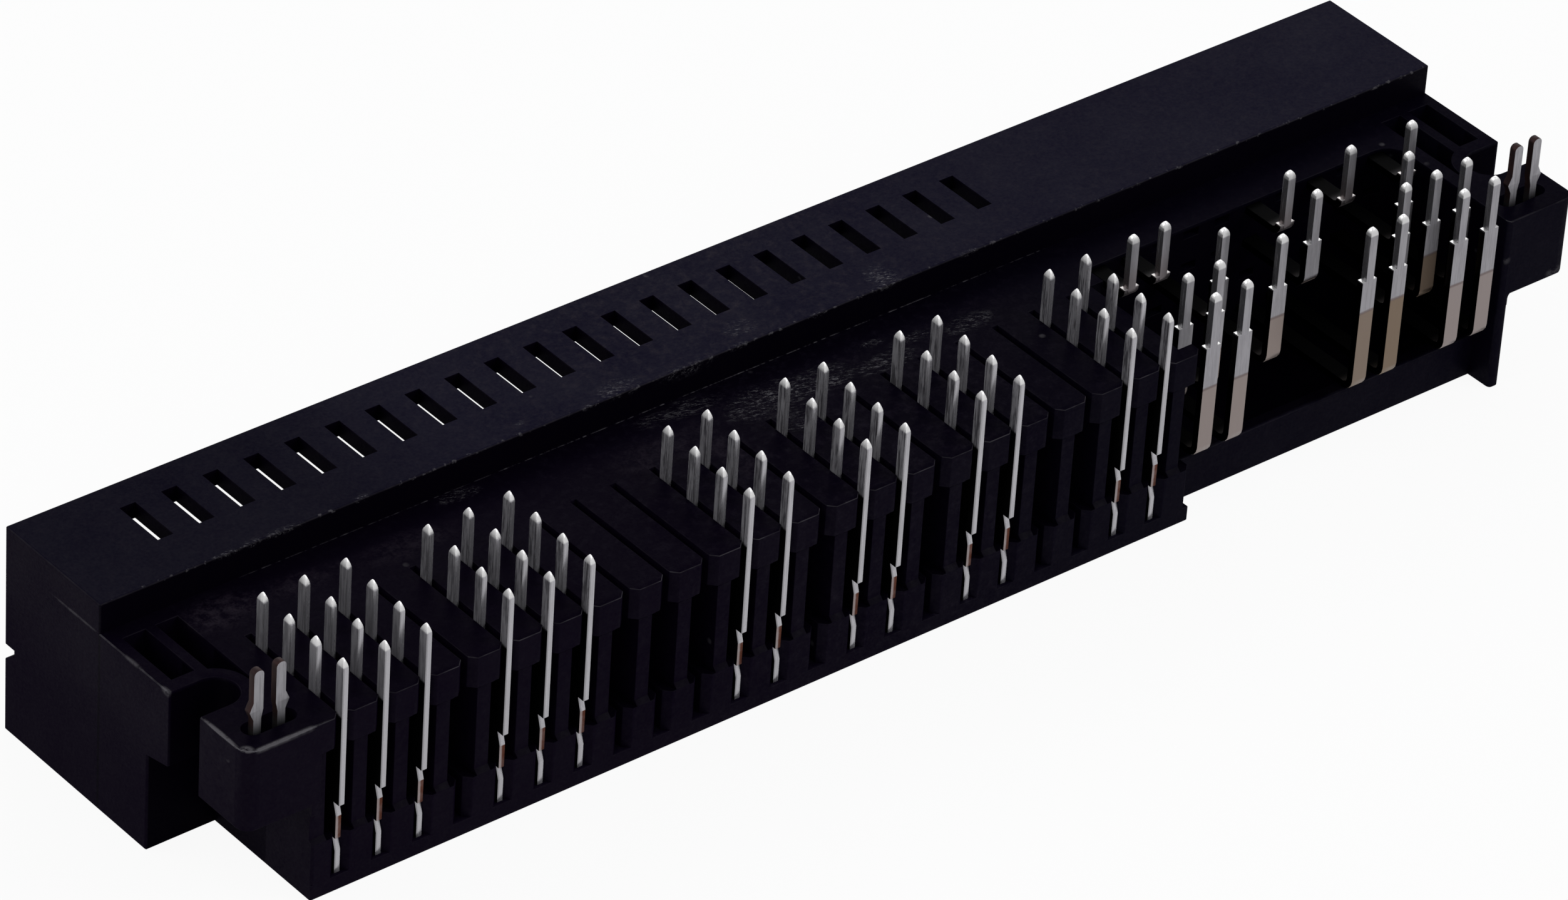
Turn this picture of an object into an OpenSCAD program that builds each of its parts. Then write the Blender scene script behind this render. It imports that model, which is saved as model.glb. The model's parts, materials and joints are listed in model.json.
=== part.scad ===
// Right-angle board connector with power plates and signal pins, in millimetres.
// It lies on its flat underside with the solder tails up. X runs along the connector,
// the comb faces -Y, the mating mouth faces +Y, and the origin is under the middle of it.

/* [Housing] */
// Depth from the front of the comb to the mating face
body_depth = 23.45; // [23:0.05:27]
// Height of the seat that meets the board
seat_h = 12.5; // [12.3:0.05:16]
// Height of the mating block above the seat
riser_h = 2.05; // [1.6:0.05:4]
// Depth of the mating block, from the mating face to the riser
block_depth = 9.4; // [8.6:0.05:11]
// Depth of the comb, from its front to the wall behind its slots
comb_depth = 9.275; // [8.9:0.025:10]
// Length of each end beyond the comb
end_reach = 4.96; // [4.8:0.02:7]
// Rounding of the long outer edges
edge_r = 0.14; // [0.06:0.02:0.5]

/* [Shroud] */
// Thickness of the shroud's end walls
shroud_end = 2; // [1.2:0.1:3]
// Thickness of the wall over the shroud
shroud_top = 1.15; // [0.6:0.05:1.8]
// Thickness of the wall under the shroud
shroud_floor = 1; // [0.6:0.1:1.8]
// Depth of the shroud, from the mating face to its back wall
shroud_depth = 6.725; // [5.5:0.025:8]
// Size of the chamfer around the mouth
mouth_chamfer = 0.4; // [0.1:0.05:0.5]
// Width of one vent
vent_w = 1.1; // [0.6:0.05:1.8]
// Length of one vent
vent_l = 3.8; // [2:0.1:4]
// Distance from the mating face to the vents
vent_inset = 2.265; // [1.5:0.005:2.5]

/* [Comb] */
// Number of power columns along the comb
power_columns = 22; // [22:1:26]
// Distance between power columns
power_pitch = 2.93; // [2.7:0.01:3.6]
// Distance from the side of the comb to the first slot
comb_margin = 2.01; // [1.8:0.01:3]
// Distance from the last slot to the signal bay
comb_end_margin = 2.86; // [2.6:0.01:3]
// Height of the floor under the slots and the bay
slot_floor = 1.08; // [0.7:0.01:1.3]
// Height at which the ribs turn thin
rib_base_h = 3.95; // [3:0.05:4.5]
// Height of the wide heads of the ribs, down from the seat
rib_head_h = 2.15; // [1.5:0.05:3]
// Thickness of the ribs between base and head
web_t = 1; // [0.7:0.05:1.4]
// How far the thin part of a rib stands back from its front
web_recess = 0.3; // [0.1:0.05:0.6]
// Chamfer on the front corners of the ribs
rib_chamfer = 0.45; // [0.1:0.05:0.6]
// Depth of the recess in the last rib, beside the bay
last_rib_recess = 1.05; // [0.5:0.05:1.2]
// Thickness of the post in front of that recess
last_rib_post = 1.075; // [0.8:0.025:1.6]

/* [Signal bay] */
// Number of signal columns
signal_columns = 10; // [10:1:14]
// Distance between signal columns
signal_pitch = 2.54; // [2.4:0.01:3]
// Distance from the last power column to the first signal column
field_gap = 3.79; // [3.7:0.01:5]
// Distance from the last signal column to the end of the bay wall
bay_margin = 2.21; // [2:0.01:3]
// Thickness of the bay's side wall
bay_wall_t = 0.8; // [0.6:0.05:1.2]
// Rounding of the front end of that wall
bay_wall_r = 0.35; // [0.1:0.05:0.5]
// Distance from the riser to the back wall of the bay
bay_ledge = 3.175; // [2.6:0.025:3.4]
// Distance from the front of the comb to the lip of the bay
lip_setback = 1.925; // [1.5:0.025:2.4]
// Thickness of the lip
lip_t = 1; // [0.7:0.05:1.5]
// Height of the lip
lip_h = 3.05; // [1.5:0.05:3.4]
// Rounding of the bay's back corner
bay_corner_r = 1.5; // [0.5:0.1:2.5]

/* [Ends] */
// Height of the underside of the end blocks
ear_under = 6.85; // [5.5:0.05:7.2]
// Rise of that underside toward the gap
ear_rise = 0.4; // [0.1:0.05:0.8]
// How far the upper end wall reaches in front of the lower one
ear_reach = 2; // [1.6:0.05:2.4]
// Width of the round-ended gap between end wall and lock block
gap_w = 2.85; // [2.2:0.05:3]
// Depth of that gap from the end face
gap_depth = 3.66; // [3:0.02:3.8]
// Rounding of the corner under the lock block
ear_fillet = 0.4; // [0.1:0.05:0.6]
// How far the lock block stands in from the end face
block_inset = 0.11; // [0.05:0.01:0.4]
// Rounding of the lock block's outer corner
block_corner_r = 1; // [0.4:0.1:1.2]
// Wall between the end face and the outer pocket
pocket_end_wall = 0.86; // [0.6:0.02:1.1]
// Width of the outer pocket
pocket_w = 1.6; // [1:0.05:1.8]
// Wall between the two pockets
pocket_rib = 0.7; // [0.4:0.05:1]
// Wall between the comb's side and the inner pocket
pocket_side_wall = 0.25; // [0.2:0.01:0.6]
// Wall in front of the outer pocket
pocket_front_wall = 0.95; // [0.6:0.05:1.4]
// Ledge left between the pockets and the riser
pocket_ledge = 1.05; // [0.6:0.05:1.8]
// Depth of the pockets
pocket_depth = 4.1; // [2:0.1:4.6]
// Thickness of the round wall behind the gap
ridge_t = 0.85; // [0.6:0.05:1.2]
// Height of the middle of the groove in the end walls at the mating face
groove_z = 5.65; // [3:0.05:9]
// Height of that groove
groove_h = 1.1; // [0.6:0.05:1.6]
// Depth of that groove
groove_depth = 0.95; // [0.5:0.05:1.5]
// Run of the groove's sloped lower face
groove_slope = 0.24; // [0.1:0.02:0.4]

/* [Power contacts] */
// Thickness of the stamped plates
plate_t = 0.4; // [0.3:0.02:0.6]
// Clearance of a contact in its slot or hole, on each side
fit_gap = 0.03; // [0.02:0.01:0.08]
// Width of one solder tail
tail_w = 0.66; // [0.5:0.02:0.8]
// Distance between rows of solder tails
row_pitch = 2.54; // [2.4:0.01:2.6]
// Height of the tail tips above the seat
tail_h = 3.75; // [2.5:0.05:5]
// Height of the rounded end of the tails
tip_h = 0.62; // [0.2:0.02:0.8]
// Width left at the very tip
tip_w = 0.12; // [0.1:0.02:0.28]
// Depth of the plate's top edge below the seat
plate_top_drop = 0.95; // [0.6:0.05:1.5]
// Height of the lower edge of the blade
blade_z = 5.6; // [4.6:0.1:5.7]
// Height of the blade
blade_h = 5; // [3:0.1:5.2]
// How far the blades end inside the mouth
blade_setback = 1.5; // [0.8:0.05:3]
// How far the tab stands back from the front edge of the plate
tab_setback = 0.25; // [0.1:0.05:0.5]
// Height of the top of the tab's upper notch
notch_top = 6.05; // [5.4:0.05:7]
// Height of the upper notch
notch_h = 0.85; // [0.5:0.05:1.2]
// Depth of the notches
notch_depth = 0.5; // [0.2:0.05:0.9]
// Height of the tab between the notches
tab_h = 1.65; // [1:0.05:2]

/* [Signal contacts] */
// Thickness of the signal strip
strip_t = 0.5; // [0.3:0.02:0.6]
// Width of the signal strip below the seat
strip_w = 1.15; // [0.9:0.05:1.4]
// Width of the signal tail and of the mating pin
pin_w = 0.62; // [0.5:0.02:0.8]
// Depth of the highest run of signal strips below the seat
level_drop = 0.83; // [0.75:0.01:1.1]
// Distance between levels of signal strips
level_pitch = 2.44; // [2.2:0.02:2.46]
// Outer radius of the bend
bend_r = 0.85; // [0.6:0.05:1]
// How far the signal pins end inside the mouth
pin_setback = 2; // [1:0.05:4]

/* [Board locks] */
// Distance from the end face to the middle of the lock
lock_inset = 3.06; // [2.8:0.02:3.2]
// Distance from the front of the block to the middle of the lock
lock_front = 1.7; // [1.5:0.05:2.2]
// Thickness of the lock plate
lock_t = 0.5; // [0.3:0.05:0.7]
// Width of the lock plate inside the block
lock_w = 3.1; // [3:0.05:3.3]
// Height of the prong tips above the seat
prong_h = 4.25; // [3.5:0.05:5.5]
// Width of one prong
prong_w = 0.69; // [0.5:0.01:0.75]
// Space between the prongs
fork_gap = 0.86; // [0.6:0.02:1]
// How far the prongs stand off the middle of the lock, toward +X
fork_shift = -0.3; // [-0.4:0.05:0.4]
// Narrowing of the prongs below the barbs
prong_waist = 0.13; // [0.05:0.01:0.25]
// Reach of a barb beyond its prong
barb_reach = 0.27; // [0.2:0.01:0.5]
// Height of the barbs above the seat
barb_z = 1.5; // [1.2:0.05:2.5]
// Half of the height of a barb
barb_half = 0.6; // [0.3:0.05:0.8]
// Rounding of the barbs
barb_r = 0.15; // [0.05:0.01:0.17]
// Rounding of the prong tips
prong_r = 0.31; // [0.1:0.01:0.34]
// Length of the oblong hole around the prongs
hole_l = 3.65; // [3.4:0.05:3.7]
// Width of that hole
hole_w = 1.3; // [1.2:0.05:2]
// How far the middle of the hole lies behind the lock
hole_back = 0.2; // [0:0.05:0.4]
// Depth of that hole
hole_depth = 2.85; // [1.5:0.05:3.2]
// Plastic left under the lock plate
lock_floor = 0.9; // [0.5:0.05:1.4]
// Depth of the fork's root below the seat
fork_root = 1.6; // [1:0.05:2]

/* [Hidden] */
// Power columns that hold a contact
POWER_FITTED = [0, 1, 2, 4, 5, 6, 10, 11, 13, 14, 16, 17, 20, 21];
// Signal columns that hold a contact in each row, from the back row to the front row
SIGNAL_FITTED = [[0, 1, 5, 7, 9], [2, 5, 8], [0, 1, 3, 7, 8, 9], [0, 1, 5, 6, 8, 9]];
ROWS = 4;
SIGNALS = [for (row = [0 : ROWS - 1]) for (column = SIGNAL_FITTED[row]) [column, row]];

function two_digits(n) = n < 10 ? str("0", n) : str(n);
function power_name(i) = str("power_contact_", two_digits(i + 1));
function signal_name(i) = str("signal_contact_", two_digits(i + 1));

last_power = power_columns - 1;
power_span = last_power * power_pitch;
signal_span = (signal_columns - 1) * signal_pitch;
body_len = 2 * end_reach + comb_margin + power_span + field_gap + signal_span + bay_margin;
block_h = seat_h + riser_h;

x_end = body_len / 2;
x_comb = x_end - end_reach;
y_front = -body_depth / 2;
y_mate = body_depth / 2;
y_wall = y_front + comb_depth;
y_riser = y_mate - block_depth;
y_shroud = y_mate - shroud_depth;

function slot_x(i) = -x_comb + comb_margin + i * power_pitch;
function signal_x(column) = slot_x(last_power) + field_gap + column * signal_pitch;
function row_y(row) = y_front + tail_w / 2 + (ROWS - 1 - row) * row_pitch;
function level(row) = seat_h - level_drop - row * level_pitch;

slot_w = plate_t + 2 * fit_gap;
z_head = seat_h - rib_head_h;
x_bay = slot_x(last_power) + comb_end_margin;
x_bay_end = x_comb - bay_wall_t;
y_bay = y_riser - bay_ledge;
y_lip = y_front + lip_setback;
tail_top = seat_h + tail_h;
y_gap = y_wall - ear_reach - gap_w / 2;
x_gap = x_end - gap_depth + gap_w / 2;
bite = 0.5;
past = 1;
arc_steps = 4;
quarter_turn = 90;
round_share = 0.95;
fine = 48;

// Round the corners of an outline, each by its own radius
function unit(v) = v / norm(v);
function corner(p, before, after, r) =
    let (
        u = unit(before - p),
        v = unit(after - p),
        half = acos(u * v) / 2,
        centre = p + unit(u + v) * r / sin(half),
        first = p + u * r / tan(half) - centre,
        start = atan2(first.y, first.x),
        turn = (u.x * v.y - u.y * v.x > 0 ? -1 : 1) * (180 - 2 * half)
    )
    [for (k = [0 : arc_steps]) centre + r * [cos(start + turn * k / arc_steps), sin(start + turn * k / arc_steps)]];
function rounded(points, radii) =
    let (n = len(points))
    [for (i = [0 : n - 1])
        each radii[i] == 0
            ? [points[i]]
            : corner(points[i], points[(i + n - 1) % n], points[(i + 1) % n], radii[i])];
function rectangle(w, h) = [[0, 0], [w, 0], [w, h], [0, h]];
function reversed(points) = [for (i = [len(points) - 1 : -1 : 0]) points[i]];

SHARP = [0, 0, 0, 0];

// A profile in Y and Z, drawn out along X from x0 to x1
module along_x(x0, x1) {
    translate([x0, 0, 0]) rotate([90, 0, 90]) linear_extrude(x1 - x0) children();
}

// A profile in X and Z, drawn out along Y from y0 to y1
module along_y(y0, y1) {
    translate([0, y1, 0]) rotate([90, 0, 0]) linear_extrude(y1 - y0) children();
}

// A box from corner a to corner b, with its edges rounded along X, Y and Z
module chunk(a, b, rx = SHARP, ry = SHARP, rz = SHARP) {
    size = b - a;
    translate(a) intersection() {
        along_x(0, size.x) polygon(rounded(rectangle(size.y, size.z), rx));
        if (ry != SHARP) along_y(0, size.y) polygon(rounded(rectangle(size.x, size.z), ry));
        if (rz != SHARP) linear_extrude(size.z) polygon(rounded(rectangle(size.x, size.y), rz));
    }
}

module both_ends() {
    children();
    mirror([1, 0, 0]) children();
}

// The wall over the full length, with the mating block on it
module main_block() {
    r = edge_r;
    chunk([-x_end, y_wall, 0], [x_end, y_mate, seat_h], [r / 2, r, 0, 0], [r, r, r, r], [r, r, r, r]);
    chunk([-x_end, y_riser, 0], [x_end, y_mate, block_h], [0, r, r, r], [r, r, r, r], [r, r, r, r]);
}

// Plan of the wide parts of the ribs, with the narrow slots between them
module rib_plan() {
    r = edge_r;
    c = rib_chamfer;
    w = slot_w / 2;
    y_post = y_front + last_rib_post;
    polygon(concat(
        [[-x_comb, y_wall + past], [-x_comb, y_front + r], [-x_comb + r, y_front]],
        [for (i = [0 : last_power]) let (x = slot_x(i)) each [
            [x - w - c, y_front], [x - w, y_front + c], [x - w, y_wall],
            [x + w, y_wall], [x + w, y_front + c], [x + w + c, y_front]]],
        [[x_bay - c, y_front], [x_bay, y_front + c], [x_bay, y_post], [x_bay - last_rib_recess, y_post],
            [x_bay - last_rib_recess, y_wall], [x_bay, y_wall], [x_bay, y_wall + past]]
    ));
}

// The thin part of one rib, seen from the side
module web(x0, x1) {
    y0 = y_front;
    y1 = y_front + web_recess;
    along_x(x0, x1) polygon([
        [y0, rib_base_h], [y1, rib_base_h + web_recess], [y1, z_head - web_recess], [y0, z_head],
        [y_wall + past, z_head], [y_wall + past, rib_base_h]]);
}

module comb() {
    web_gap = power_pitch - web_t;
    floor_r = min(edge_r, round_share * slot_floor);
    chunk([-x_comb, y_front, 0], [x_bay, y_wall + past, slot_floor], [floor_r, 0, 0, 0]);
    translate([0, 0, slot_floor]) linear_extrude(rib_base_h - slot_floor) rib_plan();
    translate([0, 0, z_head]) linear_extrude(rib_head_h) rib_plan();
    web(-x_comb, slot_x(0) - web_gap / 2);
    for (i = [0 : last_power]) web(slot_x(i) + web_gap / 2, slot_x(i) + web_gap / 2 + web_t);
}

module bay() {
    r = edge_r;
    wall_r = min(bay_wall_r, round_share * bay_wall_t / 2);
    chunk([x_bay - past, y_lip + lip_t / 2, 0], [x_bay_end + bite, y_wall + past, slot_floor]);
    chunk([x_bay - past, y_lip, 0], [x_bay_end + bite, y_lip + lip_t, lip_h], [r, 0, r, r]);
    chunk([x_bay_end, y_front, 0], [x_comb, y_wall + past, seat_h], [r, 0, 0, r], SHARP, [wall_r, wall_r, 0, 0]);
}

module bay_cut() {
    chunk([x_bay, y_lip + lip_t, slot_floor], [x_bay_end, y_bay, seat_h + past],
        SHARP, SHARP, [0, 0, bay_corner_r, 0]);
}

// The upper end wall and the lock block, with the ridge that joins them
module ear() {
    r = edge_r;
    z1 = ear_under + ear_rise;
    x0 = x_comb - bite;
    y_ear = y_wall - ear_reach;
    intersection() {
        along_x(x0, x_end) polygon([
            [y_wall + past, ear_under], [y_wall + past, seat_h], [y_gap, seat_h], [y_gap, z1],
            [y_ear, z1], [y_wall, ear_under]]);
        chunk([x0, y_gap, 0], [x_end, y_wall + past, seat_h], SHARP, [0, 0, r, 0], SHARP);
    }
    chunk([x0, y_front, ear_under], [x_end - block_inset, y_gap, seat_h],
        [r, r, 0, r], [0, r, r, 0], [0, block_corner_r, 0, 0]);
    x1 = x_comb + ear_fillet + bite;
    z0 = ear_under - ear_fillet - bite;
    along_y(y_front + r, y_gap - r) polygon(rounded(
        [[x0, z0], [x_comb, z0], [x_comb, ear_under], [x1, ear_under], [x1, ear_under + bite], [x0, ear_under + bite]],
        [0, 0, ear_fillet, 0, 0, 0]));
}

module gap_cut() {
    translate([x_gap, y_gap, 0]) {
        cylinder(h = block_h, r = gap_w / 2, $fn = fine);
        translate([0, -gap_w / 2, 0]) cube([gap_depth, gap_w, block_h]);
    }
}

// The two pockets in the ledge at one end
module pockets() {
    z0 = seat_h - pocket_depth;
    y1 = y_riser - pocket_ledge;
    x1 = x_end - pocket_end_wall;
    x2 = x1 - pocket_w - pocket_rib;
    x3 = x_comb + pocket_side_wall;
    chunk([x1 - pocket_w, y_wall - ear_reach + pocket_front_wall, z0], [x1, y1, seat_h + past]);
    difference() {
        chunk([x3, y_gap, z0], [x2, y1, seat_h + past]);
        translate([x_gap, y_gap, 0]) cylinder(h = block_h + past, r = gap_w / 2 + ridge_t, $fn = fine);
    }
}

// Groove in one end wall, with a sloped lower face
module end_groove() {
    z0 = groove_z - groove_h / 2;
    z1 = groove_z + groove_h / 2;
    y0 = y_mate - groove_depth;
    along_x(x_end - shroud_end - past, x_end + past) polygon([
        [y_mate + past, z0], [y_mate, z0], [y0 + groove_slope, z0 + groove_h / 2],
        [y0, z0 + groove_h / 2], [y0, z1], [y_mate + past, z1]]);
}

module lock_pocket() {
    x = x_end - lock_inset;
    y = y_front + lock_front;
    straight = hole_l - hole_w;
    translate([x, y + hole_back, seat_h - hole_depth]) {
        for (side = [-1, 1]) translate([side * straight / 2, 0, 0])
            cylinder(h = hole_depth + past, r = hole_w / 2, $fn = fine);
        translate([-straight / 2, -hole_w / 2, 0]) cube([straight, hole_w, hole_depth + past]);
    }
    translate([x - lock_w / 2 - fit_gap, y - lock_t / 2 - fit_gap, ear_under + lock_floor])
        cube([lock_w + 2 * fit_gap, lock_t + 2 * fit_gap, seat_h - ear_under]);
}

// The open shroud, with a chamfered mouth
module shroud_cut() {
    x = x_end - shroud_end;
    z0 = shroud_floor;
    z1 = block_h - shroud_top;
    c = mouth_chamfer;
    chunk([-x, y_shroud, z0], [x, y_mate + past, z1], SHARP, [edge_r, edge_r, edge_r, edge_r]);
    along_x(-x, x) polygon([
        [y_mate - c, z0], [y_mate + past, z0 - c - past], [y_mate + past, z1 + c + past], [y_mate - c, z1]]);
    translate([0, 0, z0 + edge_r]) linear_extrude(z1 - z0 - 2 * edge_r) polygon([
        [-x, y_mate - c], [x, y_mate - c], [x + c + past, y_mate + past], [-x - c - past, y_mate + past]]);
}

module vent(i) {
    translate([slot_x(i) - vent_w / 2, y_mate - vent_inset - vent_l, block_h - shroud_top - past])
        cube([vent_w, vent_l, shroud_top + 2 * past]);
}

module blade_hole(i) {
    translate([slot_x(i) - slot_w / 2, y_wall - past, blade_z - fit_gap])
        cube([slot_w, y_shroud - y_wall + 2 * past, blade_h + 2 * fit_gap]);
}

module signal_hole(column, row) {
    w = strip_w + 2 * fit_gap;
    translate([signal_x(column) - w / 2, y_bay - past, level(row) - fit_gap])
        cube([w, y_shroud - y_bay + 2 * past, strip_t + 2 * fit_gap]);
}

module housing() {
    color([0.17, 0.16, 0.19]) difference() {
        union() {
            main_block();
            comb();
            bay();
            both_ends() ear();
        }
        bay_cut();
        both_ends() gap_cut();
        both_ends() pockets();
        both_ends() lock_pocket();
        both_ends() end_groove();
        shroud_cut();
        for (i = [0 : last_power]) vent(i);
        for (i = [0 : last_power]) blade_hole(i);
        for (column = [0 : signal_columns - 1]) for (row = [0 : ROWS - 1]) signal_hole(column, row);
    }
}

// One side of the rounded end of a tail of width w, from its base up to the tip
function tail_end(middle, w, side) = [
    for (k = [arc_steps : -1 : 0]) [
        middle + side * (tip_w + (w - tip_w) * sin(quarter_turn * k / arc_steps)) / 2,
        tail_top - tip_h * k / arc_steps]];

// Outline of a tail of width w from height z0 to the tip
function tail_outline(middle, w, z0) = concat(
    [[middle - w / 2, z0]], tail_end(middle, w, -1), reversed(tail_end(middle, w, 1)), [[middle + w / 2, z0]]);

// Side view of a power plate: tails on top, notched tab in front, blade behind
module plate_outline() {
    z_top = seat_h - plate_top_drop;
    y_tab = y_front + tab_setback;
    y_notch = y_front + notch_depth;
    y_back = y_wall - fit_gap;
    y_blade = y_mate - blade_setback;
    tab_top = notch_top - notch_h;
    tab_low = tab_top - tab_h;
    blade_top = blade_z + blade_h;
    polygon(concat(
        [[y_tab, slot_floor], [y_tab, tab_low - notch_h], [y_notch, tab_low], [y_tab, tab_low],
            [y_tab, tab_top], [y_notch, notch_top], [y_front, notch_top]],
        [for (row = [ROWS - 1 : -1 : 0]) each tail_outline(row_y(row), tail_w, z_top)],
        [[y_back, z_top], [y_back, blade_top], [y_blade - tip_w, blade_top], [y_blade, blade_top - tip_w],
            [y_blade, blade_z + tip_w], [y_blade - tip_w, blade_z], [y_back, blade_z], [y_back, slot_floor]]
    ));
}

module power_contact(i) {
    x = slot_x(POWER_FITTED[i]);
    color([0.78, 0.77, 0.75]) intersection() {
        along_x(x - plate_t / 2, x + plate_t / 2) plate_outline();
        along_y(y_front - past, y_mate + past) polygon(tail_outline(x, plate_t, slot_floor));
    }
}

// Side view of a signal strip: a leg down from the seat, and a run to the shroud
module strip_outline(row) {
    y0 = row_y(row) - strip_t / 2;
    y1 = row_y(row) + strip_t / 2;
    z0 = level(row);
    r = min(bend_r, round_share * (seat_h - z0));
    polygon(rounded(
        [[y0, seat_h], [y0, z0], [y_shroud, z0], [y_shroud, z0 + strip_t], [y1, z0 + strip_t], [y1, seat_h]],
        [0, r, 0, 0, r - strip_t, 0]));
}

module signal_contact(i) {
    x = signal_x(SIGNALS[i][0]);
    row = SIGNALS[i][1];
    y = row_y(row);
    z = level(row);
    y_pin = y_mate - pin_setback;
    color([0.74, 0.72, 0.7]) {
        along_x(x - strip_w / 2, x + strip_w / 2) strip_outline(row);
        intersection() {
            along_x(x - pin_w / 2, x + pin_w / 2) polygon(tail_outline(y, strip_t, seat_h - tip_h / 2));
            along_y(y - strip_t, y + strip_t) polygon(tail_outline(x, pin_w, seat_h - tip_h / 2));
        }
        translate([0, 0, z]) linear_extrude(strip_t) polygon([
            [x - pin_w / 2, y_shroud - bite], [x - pin_w / 2, y_pin - tip_h], [x - tip_w / 2, y_pin],
            [x + tip_w / 2, y_pin], [x + pin_w / 2, y_pin - tip_h], [x + pin_w / 2, y_shroud - bite]]);
    }
}

// Outline of one prong with its barb, from the fork's root up and down to the plate's shoulder
function prong(side) =
    let (
        inner = fork_gap / 2 + side * fork_shift,
        outer = inner + prong_w,
        z_tip = seat_h + prong_h,
        z_root = seat_h - fork_root,
        z_barb = seat_h + barb_z,
        tip_r = min(prong_r, round_share * prong_w / 2),
        outline = rounded([
            [inner + prong_waist, z_root], [inner + prong_waist, z_barb - barb_half], [inner, z_barb],
            [inner, z_tip], [outer, z_tip], [outer, z_barb + barb_half], [outer + barb_reach, z_barb],
            [outer, z_barb - barb_half], [outer, z_root], [lock_w / 2, z_root]],
            [0, 0, 0, tip_r, tip_r, 0, barb_r, 0, 0, 0])
    )
    [for (p = outline) [side * p.x, p.y]];

module board_lock(end) {
    z_low = ear_under + lock_floor;
    y = y_front + lock_front;
    color([0.76, 0.7, 0.67]) translate([end * (x_end - lock_inset), 0, 0])
        along_y(y - lock_t / 2, y + lock_t / 2)
            polygon(concat(prong(1), [[lock_w / 2, z_low], [-lock_w / 2, z_low]], reversed(prong(-1))));
}

housing();
for (i = [0 : len(POWER_FITTED) - 1]) {
    power_contact(i);
}
for (i = [0 : len(SIGNALS) - 1]) {
    signal_contact(i);
}
board_lock(-1);  // board_lock_left
board_lock(1);  // board_lock_right
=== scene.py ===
# Right-angle board connector: a moulded housing, stamped power plates, signal strips and board locks.
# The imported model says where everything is; this script gives edges, finishes, light and the view.
import json
import math

import bmesh
import bpy
from mathutils import Matrix, Vector


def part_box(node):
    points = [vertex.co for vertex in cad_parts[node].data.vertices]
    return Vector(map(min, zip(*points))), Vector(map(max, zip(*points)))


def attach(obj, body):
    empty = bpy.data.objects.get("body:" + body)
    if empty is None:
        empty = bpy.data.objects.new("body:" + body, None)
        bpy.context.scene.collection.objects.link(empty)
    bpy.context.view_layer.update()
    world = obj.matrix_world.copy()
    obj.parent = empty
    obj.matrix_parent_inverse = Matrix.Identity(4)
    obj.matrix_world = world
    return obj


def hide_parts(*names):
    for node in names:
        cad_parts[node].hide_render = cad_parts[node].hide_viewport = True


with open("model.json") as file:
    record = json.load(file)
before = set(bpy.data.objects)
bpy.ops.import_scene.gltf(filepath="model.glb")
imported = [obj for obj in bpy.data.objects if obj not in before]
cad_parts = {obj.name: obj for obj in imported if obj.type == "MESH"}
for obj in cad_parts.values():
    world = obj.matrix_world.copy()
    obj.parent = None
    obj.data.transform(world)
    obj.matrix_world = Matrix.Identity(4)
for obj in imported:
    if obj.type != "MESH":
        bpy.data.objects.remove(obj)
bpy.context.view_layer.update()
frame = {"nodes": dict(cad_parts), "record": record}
mm = 0.001
# Heights of the seat, of the top of the mating block and of the tail tips, and how far the tails stand
# over the seat, in millimetres
seatMount = next(mount for mount in frame["record"]["mounts"] if mount["name"] == "board_seat")
seat = seatMount["pos_m"][2] / mm
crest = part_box("housing")[1][2] / mm
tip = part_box("power_contact_01")[1][2] / mm
tail = tip - seat
print("frame:", len(frame["nodes"]), "nodes")


# A socket of a shader, so that a sum of values reads as plain arithmetic
class Wire:
    def __init__(self, tree, socket=None):
        self.tree = tree
        self.socket = socket

    # Adds any node: its settings first, then the value or the wire for each socket
    def node(self, kind, settings=None, sockets=None, output=0):
        made = self.tree.nodes.new("ShaderNode" + kind)
        for name, value in (settings or {}).items():
            setattr(made, name, value)
        for name, value in (sockets or {}).items():
            if isinstance(value, Wire):
                self.tree.links.new(value.socket, made.inputs[name])
            else:
                made.inputs[name].default_value = value
        return Wire(self.tree, made.outputs[output])

    # Another output of the node that this wire comes from
    def beside(self, output):
        return Wire(self.tree, self.socket.node.outputs[output])

    # Adds a Math node with this wire as its first value
    def maths(self, operation, *others):
        return self.node("Math", {"operation": operation}, dict(enumerate((self,) + others)))

    def __add__(self, other):
        return self.maths("ADD", other)

    def __radd__(self, other):
        return self.maths("ADD", other)

    def __sub__(self, other):
        return self.maths("SUBTRACT", other)

    def __rsub__(self, other):
        return self.node("Math", {"operation": "SUBTRACT"}, {0: other, 1: self})

    def __mul__(self, other):
        return self.maths("MULTIPLY", other)

    def __rmul__(self, other):
        return self.maths("MULTIPLY", other)


# The start of a material: its shader with the values that are the same all over
def newFinish(name, constants):
    finish = bpy.data.materials.new(name)
    finish.use_nodes = True
    tree = finish.node_tree
    tree.nodes.clear()
    shader = tree.nodes.new("ShaderNodeBsdfPrincipled")
    for socket, value in constants.items():
        shader.inputs[socket].default_value = value
    end = tree.nodes.new("ShaderNodeOutputMaterial")
    tree.links.new(shader.outputs["BSDF"], end.inputs["Surface"])
    return finish, shader, Wire(tree)


def feed(shader, varying):
    for socket, wire in varying.items():
        wire.tree.links.new(wire.socket, shader.inputs[socket])


# 0 at low, 1 at high, smooth between them
def fade(value, low, high):
    return value.node("MapRange", {"interpolation_type": "SMOOTHSTEP"},
                      {"Value": value, "From Min": low, "From Max": high}, "Result")


# 1 within a span from low to high, and 0 beyond it
def band(value, span, soft):
    low, high = span
    return fade(value, low - soft, low + soft) * fade(value, high + soft, high - soft)


def blend(share, first, second):
    return share.node("Mix", {"data_type": "RGBA"}, {0: share, 6: first, 7: second}, 2)


def noise(place, scale, detail=2.0, roughness=0.5):
    return place.node("TexNoise", {}, {"Vector": place, "Scale": scale, "Detail": detail,
                                       "Roughness": roughness}, "Fac")


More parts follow.
